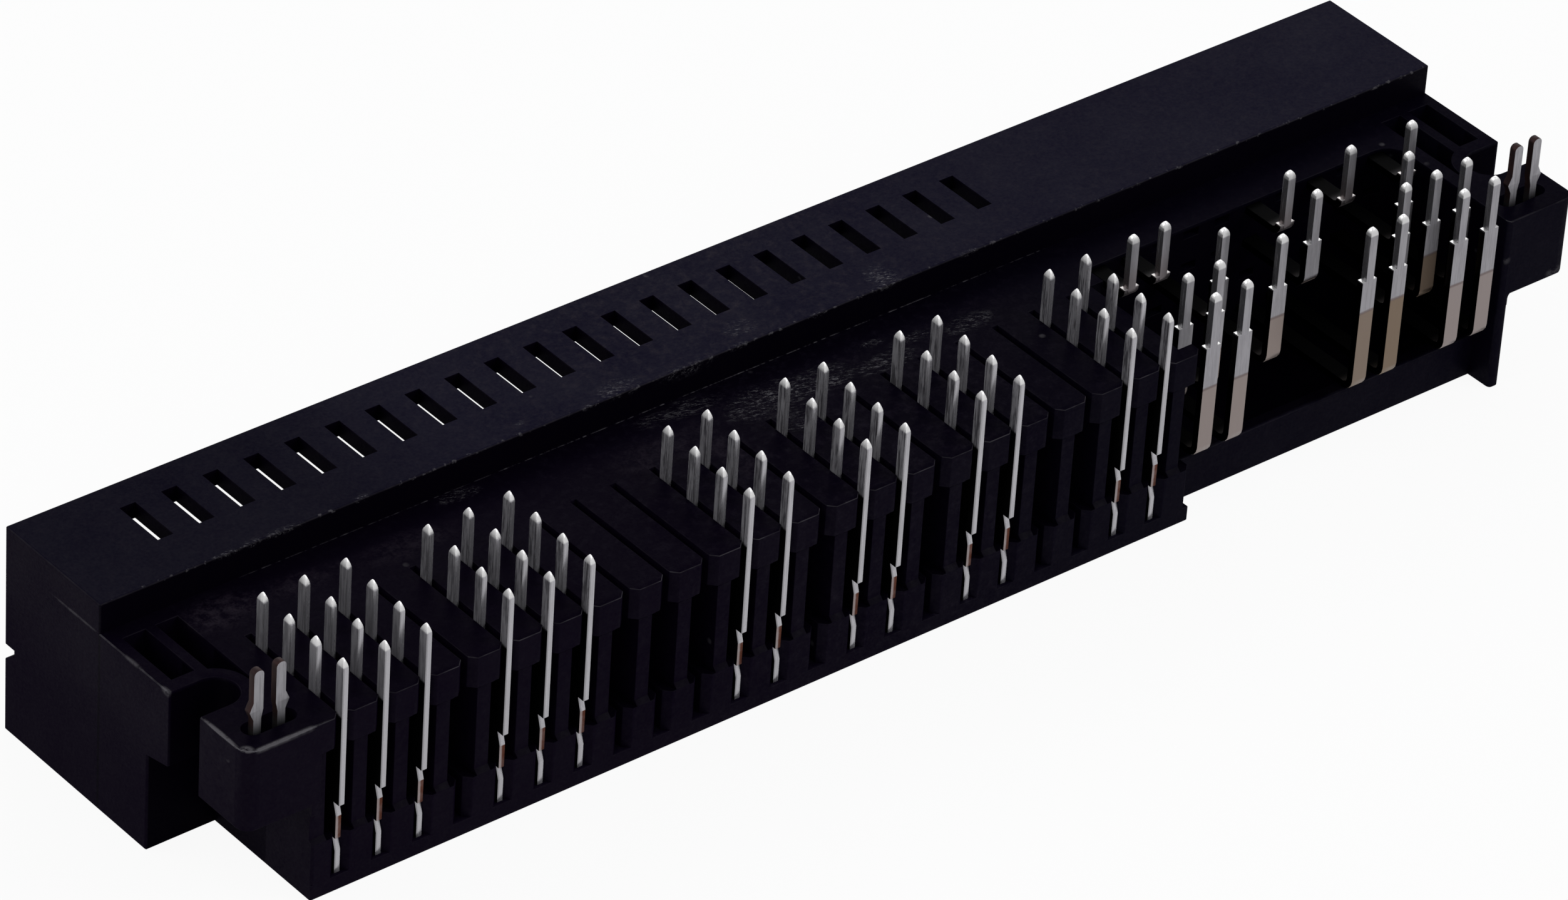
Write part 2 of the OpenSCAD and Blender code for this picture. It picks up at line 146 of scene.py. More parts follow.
def stretched(place, scale, turn=0.0):
    return place.node("Mapping", {}, {"Vector": place, "Scale": scale, "Rotation": (0, 0, turn)}, "Vector")


def bump(height, strength, distance):
    return height.node("Bump", {}, {"Height": height, "Strength": strength, "Distance": distance}, "Normal")


def colour(red, green, blue):
    return (red, green, blue, 1.0)


def axisOf(vector, axis):
    return vector.node("SeparateXYZ", {}, {"Vector": vector}, axis)


# One coordinate of a place, in millimetres
def measured(place, axis):
    return axisOf(place, axis) * (1 / mm)


# Share of a surface that faces along one axis, either way
def facing(start, axis, low=0.45, high=0.75):
    normal = start.node("TexCoord", output="Normal")
    return fade(axisOf(normal, axis).maths("ABSOLUTE"), low, high)


# How near a place is to any of a list of round patches, each with its middle, reach and strength
def nearAny(place, patches):
    near = None
    for middle, reach, strength in patches:
        away = place.node("VectorMath", {"operation": "SUBTRACT"},
                          {0: place, 1: tuple(value * mm for value in middle)}, "Vector")
        scaled = place.node("VectorMath", {"operation": "DIVIDE"},
                            {0: away, 1: tuple(value * mm for value in reach)}, "Vector")
        distance = place.node("VectorMath", {"operation": "LENGTH"}, {0: scaled}, "Value")
        share = fade(distance, 1.15, 0.35) * strength
        near = share if near is None else near.maths("MAXIMUM", share)
    return near


# The moulding: colours, sheen, and where its marks are. Lengths are in millimetres
plastic = {
    "dark": colour(0.0030, 0.0013, 0.0062),
    "cool": colour(0.0019, 0.0013, 0.0052),
    "top": colour(0.0034, 0.0026, 0.0105),
    "shade": colour(0.0012, 0.0006, 0.0026),
    "clouded": colour(0.0100, 0.0076, 0.0150),
    "hazed": colour(0.015, 0.0115, 0.018),
    "wearAndHighlight": colour(0.100, 0.095, 0.104),
    "scuffed": colour(0.24, 0.235, 0.255),
    "roughness": 0.55,
    "coat": 0.055,
    "coatRoughness": 0.42,
    "coatIor": 1.5,
    "bump": 0.35,
    "bumpHeight": 0.012,
    # how fine each pattern is
    "scales": {"grain": 5200, "clouds": 140, "mottle": 1700, "rubbed": 420, "strokes": 4600, "clusters": 900,
               "brink": 2400, "specks": 480, "lone": 260, "footLine": 1900, "haze": 1300},
    # turn of the scuffs' strokes, in radians
    "strokeTurn": 0.35,
    # painted shade: how far each region is darkened, and how much of its sheen it loses in the shade
    "paintedShade": {"riser": 0.8, "recess": 0.9, "ledge": 0.5, "leftCrestShade": 0.45, "ribFeetShade": 0.8},
    "sheenLostInShade": {"recess": 0.75, "ledge": 0.62, "leftCrestShade": 0.25, "ribFeetShade": 0.6},
    # middle, reach and strength of each scuffed patch
    "patches": [
        ((-4.6, -0.9, seat), (3.6, 1.7, 0.4), 1.0),
        ((-0.8, -1.0, seat), (2.6, 1.3, 0.4), 0.9),
        ((3.6, -1.7, seat), (2.6, 0.9, 0.4), 0.7),
        ((-4.5, -3.6, seat), (1.6, 1.0, 0.4), 0.8),
        ((6.4, -0.6, seat), (1.7, 0.5, 0.4), 0.6),
        ((10.4, -1.3, seat), (2.4, 0.9, 0.4), 0.5),
        ((-9.2, 1.25, seat), (2.6, 0.9, 0.4), 0.55),
        ((-11.6, 1.3, seat), (1.8, 0.7, 0.4), 0.4),
        ((-25.9, 1.7, seat), (1.7, 0.6, 0.4), 0.6),
        ((4.0, 0.3, seat), (1.2, 0.4, 0.4), 0.6),
        ((-13.4, 2.9, crest), (1.7, 0.9, 0.5), 0.6),
        ((-8.6, 2.0, crest), (2.6, 0.7, 0.9), 0.6),
        ((-3.4, 3.8, crest), (1.3, 0.9, 0.4), 0.5),
        ((7.1, 3.2, crest), (1.1, 1.3, 0.4), 1.0),
        ((6.8, 2.4, crest), (1.4, 0.3, 0.3), 0.8),
        ((-38.3, 2.3, crest), (1.7, 0.4, 0.3), 0.7),
        ((-40.3, 2.4, crest), (0.7, 0.35, 0.3), 1.0),
        ((-42.2, 2.2, crest), (1.2, 0.4, 0.3), 0.7),
        ((-32.5, 2.4, crest), (0.7, 0.3, 0.3), 0.8),
        ((-20.4, 3.3, crest), (0.5, 0.25, 0.3), 0.7),
        ((13.2, 2.3, crest), (0.9, 0.3, 0.3), 0.6),
        ((-4.6, 2.3, crest), (1.0, 0.3, 0.3), 1.0),
        ((1.5, 2.3, crest), (0.7, 0.3, 0.3), 0.8),
        ((-16.0, 2.3, crest), (0.5, 0.3, 0.3), 0.8),
    ],
    # places where a corner is rubbed pale, with a highlight painted along some edges
    "chipsAndHighlights": [
        ((44.97, -11.72, seat + 0.02), (0.32, 0.4, 0.22), 0.8),
        ((45.4, -11.72, seat - 2.95), (0.5, 0.2, 0.35), 0.35),
        ((49.9, -11.72, seat - 5.3), (0.8, 0.3, 0.35), 0.45),
        ((-51.16, -0.9, seat), (0.2, 1.2, 0.2), 0.4),
        ((-51.16, -4.2, seat), (0.25, 0.6, 0.4), 0.5),
        ((-51.16, 4.6, seat), (0.2, 2.6, 0.12), 0.35),
        ((-51.0, -9.2, seat), (0.20, 2.0, 0.14), 0.9),
        ((-50.75, -11.35, seat), (0.5, 0.5, 0.16), 1.0),
        ((-48.6, -11.68, seat), (3.4, 0.16, 0.14), 0.8),
    ],
    # soft dull haze on the ledge
    "hazes": [
        ((-44.2, 0.2, seat), (3.4, 1.8, 0.4), 1.0),
        ((-39.0, 0.0, seat), (4.0, 1.2, 0.4), 0.6),
        ((-31.5, -0.6, seat), (4.0, 1.4, 0.4), 0.5),
        ((-13.5, -1.5, seat), (4.0, 1.6, 0.4), 0.5),
        ((-10.2, -3.6, seat), (1.2, 4.0, 0.4), 0.5),
    ],
    # pale dots along the foot of the riser: the place of one, and how far apart they are
    "dots": (-4.48, 5.86),
    # spans of the forms that have marks or shade of their own
    "vents": {"x": (-46, 19), "y": (5.6, 9.5)},
    "bay": {"x": (20.0, 45.6), "y": (-9.6, -0.8)},
    "lockGaps": {"x": (46.2, 51.0), "y": (-7.35, -2.3)},
    "lockHoles": {"x": (46.2, 50.0), "y": (-10.8, -9.0)},
    "lockEdge": {"x": (-50.2, -46.35), "y": -11.66, "z": seat - 0.06},
    "riser": {"y": (2.2, 2.42)},
    "brink": {"y": (2.24, 2.50)},
    "foot": {"x": (-41, 19), "y": (2.27, 2.32)},
    "ribFeetShade": {"z": (3.85, 4.35)},
    "handled": {"x": (-18, 10)},
    "palest": {"x": (-21, 11)},
    # where one look fades into the next, from none of it to all of it
    "cooler": {"x": (-30, 30)},
    "leftCrestShade": {"x": (-22, -36)},
    "leftEnd": {"x": (-50.9, -51.0), "z": (3, 13)},
    "upward": (0.3, 0.9),
}
scales = plastic["scales"]


# Short fine strokes in broken clusters, within the scuffed patches
def scuffMarks(place):
    aslant = stretched(place, (1.0, 1.0, 1.0), plastic["strokeTurn"])
    strokes = fade(noise(stretched(aslant, (0.5, 1.7, 1.0)), scales["strokes"], 4.0, 0.9), 0.50, 0.70)
    clusters = fade(noise(stretched(aslant, (0.8, 1.5, 1.0)), scales["clusters"], 3.0, 0.8), 0.35, 0.60)
    return nearAny(place, plastic["patches"]) * strokes * (0.12 + 0.88 * clusters)


# Chipped corners with a highlight painted along some edges, the chipped brink of the riser, and the rubbed
# front edge of the left lock block, which also carries a painted highlight
def chipAndHighlightMarks(place, x, y, z, mottle, rubbed):
    corners = nearAny(place, plastic["chipsAndHighlights"]) * fade(mottle, 0.36, 0.56)
    brink = band(y, plastic["brink"]["y"], 0.04) * fade(z, crest - 0.2, crest - 0.1)
    brink = brink * fade(noise(place, scales["brink"], 2.0, 0.7), 0.58, 0.70) * 0.5
    lockEdge = plastic["lockEdge"]
    offY = y - lockEdge["y"]
    offZ = z - lockEdge["z"]
    away = (offY * offY + offZ * offZ).maths("SQRT")
    rimWearAndHighlight = fade(away, 0.26, 0.05) * band(x, lockEdge["x"], 0.2)
    return corners + brink + rimWearAndHighlight * (0.12 + 0.55 * rubbed)


def dustSpecks(place):
    cells = place.node("TexVoronoi", {"feature": "F1"},
                       {"Vector": place, "Scale": scales["specks"], "Randomness": 1.0}, "Distance")
    return fade(cells, 0.13, 0.05) * fade(noise(place, scales["lone"], 1.0), 0.60, 0.68)


# Pale broken line along the foot of the riser, with a brighter dot at each second slot
def footLine(place, x, y, z):
    first, gap = plastic["dots"]
    foot = band(z, (seat - 0.02, seat + 0.04), 0.02) * band(y, plastic["foot"]["y"], 0.015)
    turn = (x - first) * (1 / gap)
    turn = turn - turn.maths("ROUND")
    dot = fade(turn.maths("ABSOLUTE"), 0.03, 0.012)
    broken = fade(noise(place, scales["footLine"], 2.0, 0.8), 0.40, 0.62)
    strength = (0.45 + 0.55 * band(x, plastic["palest"]["x"], 4)) * band(x, plastic["foot"]["x"], 1)
    return foot * strength * (broken * 0.7 + dot)


# Painted shade in the signal bay, the gaps beside the lock blocks, and the vents
def recessesAt(x, y, z):
    low = fade(z, seat - 0.03, seat - 0.3)
    bay = band(x, plastic["bay"]["x"], 0.1) * band(y, plastic["bay"]["y"], 0.1)
    gaps = band(x.maths("ABSOLUTE"), plastic["lockGaps"]["x"], 0.05) * band(y, plastic["lockGaps"]["y"], 0.1)
    vents = band(x, plastic["vents"]["x"], 0.5) * band(y, plastic["vents"]["y"], 0.03)
    vents = vents * fade(z, crest - 0.03, crest - 0.12) * fade(z, seat + 0.5, seat + 0.6)
    return low * (bay + gaps) + 0.7 * vents


def plasticFinish():
    finish, shader, start = newFinish("blackPlastic", {
        "Specular IOR Level": 0.0,
        "Coat Roughness": plastic["coatRoughness"],
        "Coat IOR": plastic["coatIor"],
    })
    place = start.node("TexCoord", output="Object")
    x, y, z = (measured(place, axis) for axis in "XYZ")
    grain = noise(place, scales["grain"], 2.0, 0.6)
    clouds = noise(place, scales["clouds"], 3.0, 0.6)
    mottle = noise(place, scales["mottle"], 4.0, 0.75)
    upward = fade(axisOf(start.node("TexCoord", output="Normal"), "Z"), *plastic["upward"])
    # Edge wear and a painted highlight break up along the edges that are marked with them
    edge = start.node("Attribute", {"attribute_name": "edgeWearAndHighlight"}, {}, "Fac")
    rubbed = fade(noise(place, scales["rubbed"], 3.0, 0.7), 0.40, 0.66)
    wearAndHighlight = edge * (0.25 + 0.75 * rubbed)
    scuff = scuffMarks(place)
    chipAndHighlight = chipAndHighlightMarks(place, x, y, z, mottle, rubbed)
    pale = wearAndHighlight + scuff + chipAndHighlight + dustSpecks(place) * 0.35 + footLine(place, x, y, z)
    # Masks where shade is painted: the recesses, the riser face, the ledges at the seat, the left of the
    # crest and the feet of the ribs
    recess = recessesAt(x, y, z)
    riser = band(y, plastic["riser"]["y"], 0.02) * (1.0 - upward)
    ledge = upward * band(z, (seat - 0.1, seat + 0.1), 0.03)
    leftCrestShade = fade(x, *plastic["leftCrestShade"]["x"]) * fade(z, crest - 0.1, crest - 0.01)
    leftEnd = fade(x, *plastic["leftEnd"]["x"]) * (1.0 - upward)
    ribFeetShade = upward * band(z, plastic["ribFeetShade"]["z"], 0.04)
    shadedRegions = {"riser": riser, "recess": recess, "ledge": ledge, "leftCrestShade": leftCrestShade, "ribFeetShade": ribFeetShade}
    # The colour, from the plain plastic with its painted lighter tops and painted shade to the pale marks on
    # it
    # The mottle is held back in the painted shade of the recesses and the riser, and on faces that don't
    # look up
    shown = (1.0 - recess) * (1.0 - riser) * (0.4 + 0.6 * upward)
    handled = 0.35 + 0.65 * band(x, plastic["handled"]["x"], 12)
    plain = blend(fade(x, *plastic["cooler"]["x"]), plastic["dark"], plastic["cool"])
    # Painted light: the upward faces at the crest are lighter and bluer
    plain = blend(upward * fade(z, crest - 0.06, crest - 0.02), plain, plastic["top"])
    base = blend(fade(mottle, 0.47, 0.74) * shown * handled, plain, plastic["clouded"])
    # Painted shade darkens these regions
    dim = sum(shadedRegions[name] * share for name, share in plastic["paintedShade"].items())
    base = blend(dim.maths("MINIMUM", 1.0), base, plastic["shade"])
    haze = nearAny(place, plastic["hazes"]) * fade(noise(place, scales["haze"], 3.0, 0.8), 0.36, 0.70)
    base = blend(haze, base, plastic["hazed"])
    # Pale marks: wear, scuffs, chips, dust specks and the foot line, with a highlight painted along some
    # edges
    base = blend(pale.maths("MINIMUM", 1.0), base, plastic["wearAndHighlight"])
    base = blend(scuff * 0.6, base, plastic["scuffed"])
    # The sheen, uneven, and weakened by the painted shade in the shaded regions
    rough = plastic["roughness"] + (clouds - 0.5) * 0.22 + (grain - 0.5) * 0.12
    uneven = 1.0 + (clouds - 0.5) * 1.1 + (mottle - 0.5) * 1.2 * handled + (grain - 0.5) * 1.3
    coat = plastic["coat"] * uneven
    for name, share in plastic["sheenLostInShade"].items():
        coat = coat * (1.0 - share * shadedRegions[name])
    # Painted sheen on the left end face, stronger toward its top and weaker toward its foot
    coat = coat * (1.0 + leftEnd * (0.55 * fade(z, *plastic["leftEnd"]["z"]) - 0.25))
    height = grain * 0.5 + clouds * 0.3 + scuff * 0.8
    feed(shader, {"Base Color": base, "Roughness": rough, "Coat Weight": coat,
                  "Normal": bump(height, plastic["bump"], plastic["bumpHeight"] * mm)})
    return finish


# The metal of all the contacts and locks
tin = {
    "bright": colour(0.42, 0.41, 0.435),
    "dull": colour(0.105, 0.10, 0.113),
    "highlight": colour(0.72, 0.715, 0.71),
    "torn": colour(0.07, 0.07, 0.072),
    "copper": colour(0.085, 0.024, 0.012),
    "lilac": colour(0.24, 0.20, 0.19),
    "tab": colour(0.24, 0.19, 0.185),
    "beige": colour(0.155, 0.106, 0.064),
    "stripe": colour(0.12, 0.085, 0.08),
    "shaded": colour(0.022, 0.022, 0.024),
    "sheared": colour(0.014, 0.0055, 0.006),
    "deep": colour(0.0018, 0.0018, 0.002),
    "faceRoughness": 0.42,
    "edgeRoughness": 0.26,
    "runRoughness": 0.90,
    "cutRoughness": 0.60,
    "metallic": 0.70,
    "cutMetallic": 0.97,
    "bump": 0.25,
    "bumpHeight": 0.006,
    "streakScale": 9000,
    "mottleScale": 2600,
}


# Streaks along the metal, dull on the rolled faces and bright on the cut ones
def tinSurface(place, rolled, streaky):
    streaks = noise(stretched(place, (1.0, 1.0, 0.045)), tin["streakScale"], 3.0, 0.65)
    mottle = noise(stretched(place, (1.0, 1.0, 0.25)), tin["mottleScale"], 3.0, 0.7)
    tone = fade(streaks * 0.65 + mottle * 0.35, 0.42, 0.56)
    base = blend((0.2 + 0.8 * rolled) * (0.5 + (0.5 - tone) * streaky), tin["bright"], tin["dull"])
    rough = tin["edgeRoughness"] + rolled * (tin["faceRoughness"] - tin["edgeRoughness"])
    return base, rough + (streaks - 0.5) * 0.25, streaks + mottle * 0.6


# The metallic share, from its plain value to another one where a mask is 1
def metalShare(mask, other):
    return tin["metallic"] + mask * (other - tin["metallic"])


# 1 on the tips of the tails, where a highlight is painted, for a height from the seat
def tipHighlightAt(height):
    return fade(height, tail - 0.55, tail - 0.42)


def feedTin(shader, base, rough, metal, height):
    feed(shader, {"Base Color": base, "Roughness": rough, "Metallic": metal,
                  "Normal": bump(height, tin["bump"], tin["bumpHeight"] * mm)})


# The marks of a power plate, in millimetres, with heights from the seat
plate = {
    "middle": -44.19,  # of the first plate
    "pitch": 2.93,
    "streaked": (-40, -24),  # the plates nearest the left end came from a cleaner strip
    "torn": (-0.22, -0.10),  # across a cut face, from its middle
    "copper": (-0.10, 0.04),
    "tab": (-8.95, -7.35),  # the carrier tab
    "tabFront": (-11.30, -11.42),
    "behindRibs": (-1.6, -2.4),
    "patchScale": 1800,
}


def powerFinish():
    finish, shader, start = newFinish("tinnedPlate", {})
    place = start.node("TexCoord", output="Object")
    x = measured(place, "X")
    y = measured(place, "Y")
    z = measured(place, "Z") - seat
    rolled = facing(start, "X")
    streaky = 0.35 + 0.65 * fade(x, *plate["streaked"])
    base, rough, height = tinSurface(place, rolled, streaky)
    # Across each plate, in millimetres from its middle
    across = (x - plate["middle"]) * (1 / plate["pitch"])
    across = (across - across.maths("ROUND")) * plate["pitch"]
    # Each cut face is torn along its -X side
    torn = facing(start, "Y") * band(across, plate["torn"], 0.03) * fade(z, tail - 0.4, tail - 0.6)
    base = blend(torn * 0.4, base, tin["torn"])
    # A highlight is painted on the tips
    base = blend(tipHighlightAt(z) * 0.8, base, tin["highlight"])
    # The cut front of the carrier tab shows bare copper, most on its +X half
    tab = band(z, plate["tab"], 0.03) * fade(y, *plate["tabFront"])
    patchy = fade(noise(place, plate["patchScale"], 3.0, 0.6), 0.35, 0.6)
    bare = tab * fade(across, *plate["copper"])
    base = blend(tab * (0.7 + 0.25 * patchy), base, tin["tab"])
    base = blend(bare * (0.85 + 0.15 * patchy), base, tin["copper"])
    # Between the ribs the rolled sides lie in the dark
    sunk = fade(z, -0.1, -0.3) * rolled * fade(y, *plate["behindRibs"])
    base = blend(sunk * 0.97, base, tin["deep"])
    metal = metalShare((sunk + bare).maths("MINIMUM", 1.0), tin["cutMetallic"])
    feedTin(shader, base, rough + bare * 0.25, metal, height)
    return finish


# The marks of a signal strip, in millimetres, with heights from the seat
strip = {
    "streaky": 0.16,
    "unevenPlating": {"scale": 300, "height": 0.2},
    "scratchScale": 5200,
    "shoulder": (-0.06, 0.02),
    "backFeet": {"y": (-5.6, -4.6), "z": (2.4, 0.1)},
    "darkBay": {"y": (0.5, -0.5), "z": (-0.05, -0.15)},
    "litRun": (0.9, 0.1),  # from the leg
}


def signalFinish():
    finish, shader, start = newFinish("tinnedStrip", {})
    place = start.node("TexCoord", output="Object")
    y = measured(place, "Y")
    z = measured(place, "Z") - seat
    broad = facing(start, "Y")
    level = facing(start, "Z")
    base, rough, height = tinSurface(place, broad, strip["streaky"])
    # The plating ends at its own height on each strip
    cut = start.node("Attribute", {"attribute_name": "cut"}, {}, "Fac")
    warmth = start.node("Attribute", {"attribute_name": "warmth"}, {}, "Fac")
    uneven = strip["unevenPlating"]
    over = z - cut + (noise(place, uneven["scale"], 2.0) - 0.5) * uneven["height"]
    lower = blend(warmth, tin["lilac"], tin["beige"])
    base = blend(fade(over, 0.02, -0.10) * 0.9, base, lower)
    base = blend(band(over, (-0.10, 0.08), 0.07) * 0.75, base, tin["stripe"])
    # The sides are painted dark as shade, broken by a few bright streaks, and a highlight is painted on the
    # tips and shoulders
    glints = fade(noise(stretched(place, (1.0, 1.0, 0.06)), strip["scratchScale"], 2.0, 0.6), 0.60, 0.70)
    base = blend(facing(start, "X") * (0.72 - 0.5 * glints), base, tin["shaded"])
    base = blend(tipHighlightAt(z) * 0.7, base, tin["highlight"])
    base = blend(band(z, strip["shoulder"], 0.02) * level, base, tin["highlight"])
    # The tails at the back lose their light toward their feet
    feet = fade(z, *strip["backFeet"]["z"]) * fade(y, *strip["backFeet"]["y"])
    base = blend(feet * 0.5, base, tin["stripe"])
    # Below the seat the sides and the runs lie in the dark of the bay, but for the start of each run
    sunk = fade(z, *strip["darkBay"]["z"]) * fade(y, *strip["darkBay"]["y"])
    leg = start.node("Attribute", {"attribute_name": "leg"}, {}, "Fac")
    lit = fade(y - leg, *strip["litRun"]) * level
    base = blend(sunk * (1.0 - broad) * (1.0 - 0.06 * lit), base, tin["deep"])
    rough = rough + sunk * level * (1.0 - 0.6 * lit) * (tin["runRoughness"] - tin["edgeRoughness"])
    feedTin(shader, base, rough, metalShare(sunk, 1.0), height)
    return finish


# The marks of a board lock: its prongs' feet stand in the shade from one height to another over the seat
lock = {"streaky": 0.25, "patchScale": 1200, "cutFacing": (0.6, 0.85), "shadedFeet": (0.75, -0.15)}


def lockFinish():
    finish, shader, start = newFinish("tinnedLock", {})
    place = start.node("TexCoord", output="Object")
    z = measured(place, "Z") - seat
    base, rough, height = tinSurface(place, facing(start, "Y"), lock["streaky"])
    # The sheared sides and the rounded ends are dark and coppery
    patchy = fade(noise(place, lock["patchScale"], 3.0, 0.6), 0.4, 0.6)
    cut = 1.0 - facing(start, "Y", *lock["cutFacing"])
    base = blend(cut * 0.98, base, blend(patchy * 0.12, tin["sheared"], tin["copper"]))
    base = blend(fade(z, *lock["shadedFeet"]) * 0.85, base, tin["shaded"])
    rough = rough + cut * (tin["cutRoughness"] - tin["edgeRoughness"])
    feedTin(shader, base, rough, metalShare(cut, tin["cutMetallic"]), height)
    return finish


# The edges of the vents and of the holes around the locks stay sharp
def staysSharp(edge):
    x, y, z = (edge.verts[0].co + edge.verts[1].co) / (2 * mm)
    frontY, backY = plastic["vents"]["y"]
    vent = z > crest - 0.1 and frontY < y < backY
    innerX, outerX = plastic["lockHoles"]["x"]
    frontY, backY = plastic["lockHoles"]["y"]
    hole = innerX < abs(x) < outerX and frontY < y < backY and z > seat - 0.05
    return vent or hole


def never(edge):
    return False


# How much edge wear and painted highlight the rounded edges of each part of the housing get
edgeWearAndHighlight = {"crest": 0.10, "low": 0.03, "leftLock": 0.9, "rightLock": 0.12, "leftEnd": 0.6, "front": 0.38,
        "rest": 0.06}


# How much edge wear and painted highlight a face of the housing gets: only faces of rounded edges that look
# up get any
def edgeWearAndHighlightOf(face):
    if face.normal.z < 0.2 or max(abs(share) for share in face.normal) > 0.975:
        return 0.0
    x, y, z = face.calc_center_median() / mm
    if z > crest - 0.3:
        return edgeWearAndHighlight["crest"]
    if z < seat - 0.25:
        return edgeWearAndHighlight["low"]
    if abs(x) > 46.3 and y < -7.6:
        return edgeWearAndHighlight["leftLock"] if x < 0 else edgeWearAndHighlight["rightLock"]
    if x < -50.8:
        return edgeWearAndHighlight["leftEnd"]
    return edgeWearAndHighlight["front"] if y < -11.4 else edgeWearAndHighlight["rest"]


# Edges: how far they are rounded, from which angle on in degrees, and which ones stay sharp
housingShape = {"edge": 0.04 * mm, "segments": 2, "sharpAngle": 30, "smoothAngle": 40, "keep": staysSharp}
metalShape = {"edge": 0.03 * mm, "segments": 2, "sharpAngle": 34, "smoothAngle": 30, "keep": never}
# The CAD mesh comes as loose triangles: what counts as one point, and as one plane in degrees
clean = {"merge": 0.0005 * mm, "flat": 0.4}
# The blunt end of a signal tail, and its middle from the front of the strip's box
dome = {"height": 0.62 * mm, "swell": 0.8, "middle": 0.25 * mm}
# The height from the seat at which each strip's plating ends, and how beige the metal is below it
platings = {
    "09": (-2.75, 0.2), "11": (-2.17, 0.25), "13": (-2.30, 0.9), "15": (-3.03, 0.1), "16": (-3.12, 0.1),
    "17": (-2.29, 0.75), "18": (-2.25, 0.95), "19": (-3.16, 0.0), "20": (-3.20, 0.0),
}
usualPlating = (-2.75, 0.2)


# Widens the end of a signal tail to a blunt dome, about its own middle
def bluntTip(bm, middle):
    for vert in bm.verts:
        share = 1.0 - (tip * mm - vert.co.z) / dome["height"]
        if share > 0.0:
            swell = dome["swell"] * share * share
            vert.co.x += (vert.co.x - middle[0]) * swell
            vert.co.y += (vert.co.y - middle[1]) * swell


# A copy of a node's mesh with rounded edges, which takes the node's place
def roundedCopy(nodeName, pieceName, shape, finish, marks=None, middle=None):
    mesh = bpy.data.meshes.new(pieceName)
    bm = bmesh.new()
    bm.from_mesh(frame["nodes"][nodeName].data)
    bmesh.ops.remove_doubles(bm, verts=bm.verts, dist=clean["merge"])
    bmesh.ops.dissolve_limit(bm, angle_limit=math.radians(clean["flat"]), verts=bm.verts, edges=bm.edges)
    if middle:
        bluntTip(bm, middle)
    sharp = math.radians(shape["sharpAngle"])
    smooth = math.radians(shape["smoothAngle"])
    outer = [edge for edge in bm.edges
             if edge.calc_face_angle_signed(0.0) > sharp and not shape["keep"](edge)]
    bmesh.ops.bevel(bm, geom=outer, offset=shape["edge"], offset_type="OFFSET", segments=shape["segments"],
                    profile=0.5, affect="EDGES", clamp_overlap=False, loop_slide=True, material=-1)
    bmesh.ops.triangulate(bm, faces=bm.faces)
    for face in bm.faces:
        face.smooth = True
    for edge in bm.edges:
        edge.smooth = edge.calc_face_angle(0.0) < smooth
    for name, worth in (marks or {}).items():
        layer = bm.faces.layers.float.new(name)
        for face in bm.faces:
            face[layer] = worth(face)
    bm.to_mesh(mesh)
    bm.free()
    mesh.materials.append(finish)
    piece = bpy.data.objects.new(pieceName, mesh)
    bpy.context.scene.collection.objects.link(piece)
    even = piece.modifiers.new("evenShading", "WEIGHTED_NORMAL")
    even.keep_sharp = True
    even.weight = 90
    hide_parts(nodeName)
    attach(piece, "root")
    return piece


# What the finish has to know of one signal strip, and the middle of its tail
def stripMarks(name):
    cut, warmth = platings.get(name[-2:], usualPlating)
    low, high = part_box(name)
    leg = low[1] / mm + 0.5
    marks = {"cut": lambda face: cut, "warmth": lambda face: warmth, "leg": lambda face: leg}
    return marks, ((low[0] + high[0]) / 2, low[1] + dome["middle"])


roundedCopy("housing", "moulded_housing", housingShape, plasticFinish(), {"edgeWearAndHighlight": edgeWearAndHighlightOf})
print("housing made")
families = [
    ("power_contact", "power_plate", powerFinish()),
    ("signal_contact", "signal_strip", signalFinish()),
    ("board_lock", "lock_fork", lockFinish()),
]
for family, pieceFamily, finish in families:
    names = sorted(name for name in frame["nodes"] if name.startswith(family))
    for name in names:
        marks, middle = stripMarks(name) if family == "signal_contact" else (None, None)
        roundedCopy(name, name.replace(family, pieceFamily), metalShape, finish, marks, middle)
    print(pieceFamily, "made:", len(names))

stage = {"size": 3.0, "drop": 0.02 * mm, "tone": colour(0.82, 0.82, 0.82), "glow": 0.93}


# 1 for rays that show the background: from the camera, a reflection or through glass
def seen(start):
    rays = start.node("LightPath", output="Is Camera Ray")
    mirrored = rays.maths("MAXIMUM", rays.beside("Is Glossy Ray"))
    return mirrored.maths("MAXIMUM", rays.beside("Is Transmission Ray"))


def floorFinish():
    finish = bpy.data.materials.new("paleFloor")
    finish.use_nodes = True
    tree = finish.node_tree
    tree.nodes.clear()
    start = Wire(tree)
    plain = start.node("BsdfDiffuse", {}, {"Color": stage["tone"]})
    glow = start.node("Emission", {}, {"Color": colour(1, 1, 1), "Strength": 1.0})
    mixed = start.node("MixShader", {}, {0: seen(start) * stage["glow"], 1: plain, 2: glow})
    end = tree.nodes.new("ShaderNodeOutputMaterial")
    tree.links.new(mixed.socket, end.inputs["Surface"])
    return finish


bm = bmesh.new()
bmesh.ops.create_grid(bm, x_segments=1, y_segments=1, size=stage["size"] / 2,
                      matrix=Matrix.Translation((0, 0, -stage["drop"])))
floorMesh = bpy.data.meshes.new("floor")
bm.to_mesh(floorMesh)
bm.free()
floorMesh.materials.append(floorFinish())
floor = bpy.data.objects.new("floor", floorMesh)
bpy.context.scene.collection.objects.link(floor)

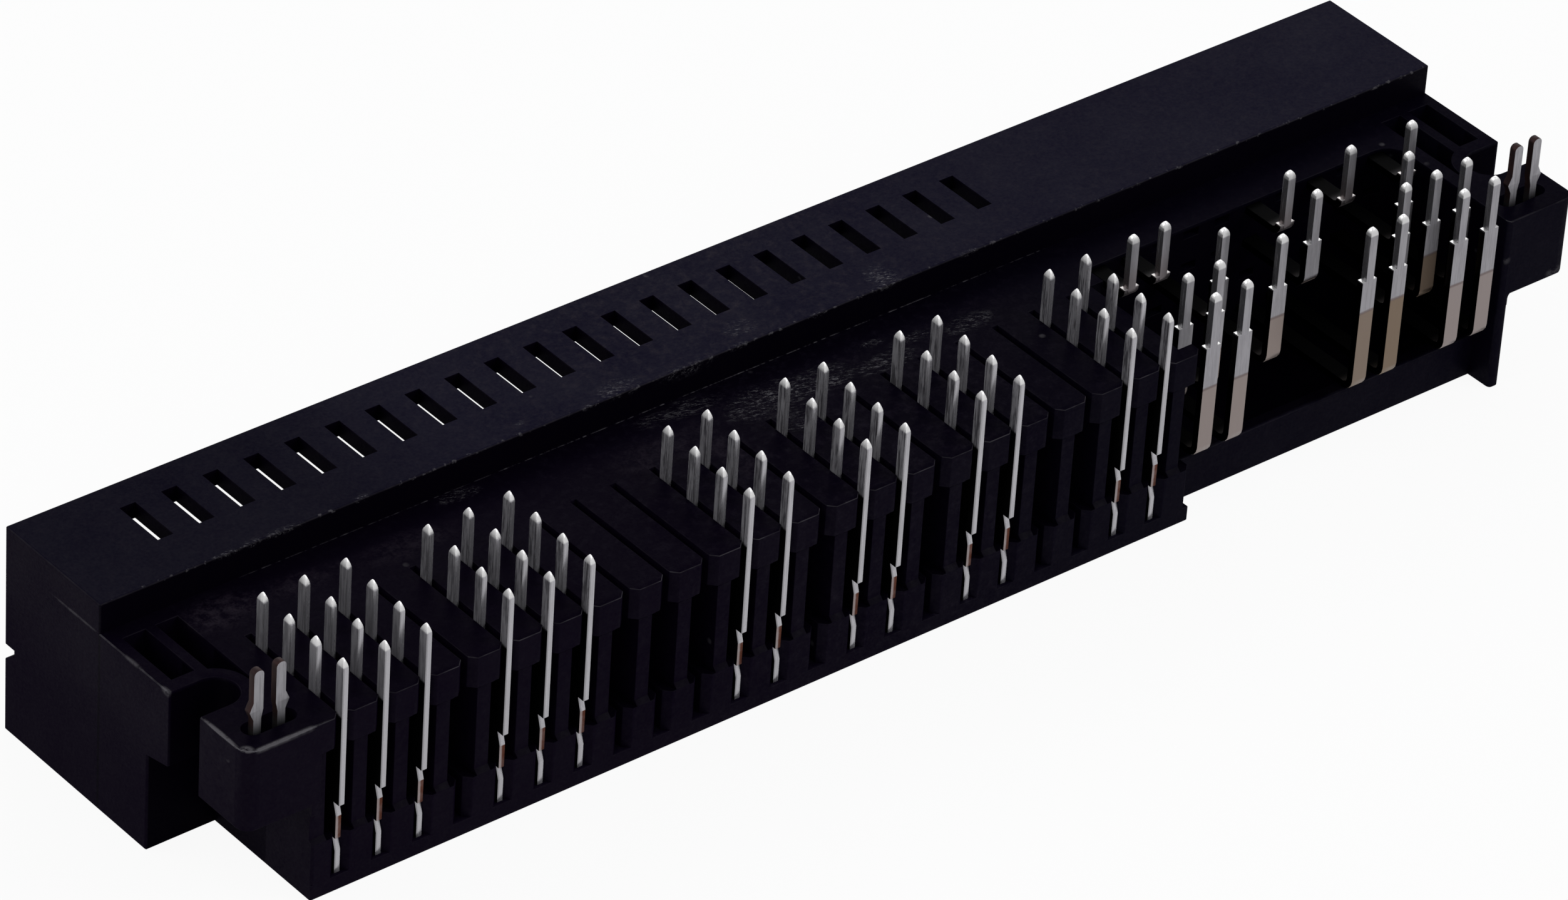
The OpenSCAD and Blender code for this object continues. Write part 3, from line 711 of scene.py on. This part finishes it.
# The world lights the object softly, and is white where it is seen
studio = {"tint": colour(0.96, 0.97, 1.0), "strength": 0.55}
world = bpy.data.worlds.new("studio")
bpy.context.scene.world = world
world.use_nodes = True
world.node_tree.nodes.clear()
start = Wire(world.node_tree)
soft = start.node("Background", {}, {"Color": studio["tint"], "Strength": studio["strength"]})
white = start.node("Background", {}, {"Color": colour(1, 1, 1), "Strength": 1.0})
mixed = start.node("MixShader", {}, {0: seen(start), 1: soft, 2: white})
worldEnd = world.node_tree.nodes.new("ShaderNodeOutputWorld")
world.node_tree.links.new(mixed.socket, worldEnd.inputs["Surface"])

# Square lamps, in metres and watts, which all point at the middle of the floor
lamps = {
    "key": {"place": (0.54, -0.57, 0.62), "size": 0.45, "power": 2.4},
    "back": {"place": (0.62, 0.72, 0.66), "size": 0.60, "power": 2.2},
    "side": {"place": (-0.62, 0.58, 0.52), "size": 0.45, "power": 2.0},
}
for name, lamp in lamps.items():
    light = bpy.data.lights.new(name, "AREA")
    light.size = lamp["size"]
    light.energy = lamp["power"]
    holder = bpy.data.objects.new(name, light)
    holder.location = lamp["place"]
    holder.rotation_euler = (-Vector(lamp["place"])).to_track_quat("-Z", "Y").to_euler()
    bpy.context.scene.collection.objects.link(holder)

# Angles in degrees, the place and the nearest point in metres, the lens and the sensor in millimetres
view = {
    "azimuth": -41.058,
    "elevation": 34.863,
    "roll": 3.883,
    "place": (-0.287559, -0.327211, 0.309765),
    "lens": 202.04,
    "sensor": 36.0,
    "nearest": 0.01,
}
azimuth = math.radians(view["azimuth"])
elevation = math.radians(view["elevation"])
roll = math.radians(view["roll"])
# The camera's own axes: back from the object, then right and up, turned by the roll
back = Vector((math.sin(azimuth) * math.cos(elevation),
               -math.cos(azimuth) * math.cos(elevation),
               math.sin(elevation)))
right = (-back).cross(Vector((0, 0, 1))).normalized()
up = right.cross(-back)
across = right * math.cos(roll) + up * math.sin(roll)
upright = -right * math.sin(roll) + up * math.cos(roll)
turned = Matrix((across, upright, back)).transposed().to_4x4()
lens = bpy.data.cameras.new("camera")
lens.lens = view["lens"]
lens.sensor_width = view["sensor"]
lens.sensor_fit = "HORIZONTAL"
lens.clip_start = view["nearest"]
camera = bpy.data.objects.new("camera", lens)
camera.matrix_world = Matrix.Translation(view["place"]) @ turned
bpy.context.scene.collection.objects.link(camera)
bpy.context.scene.camera = camera
bpy.context.scene.view_settings.view_transform = "Standard"
print("stage, lamps and camera set")
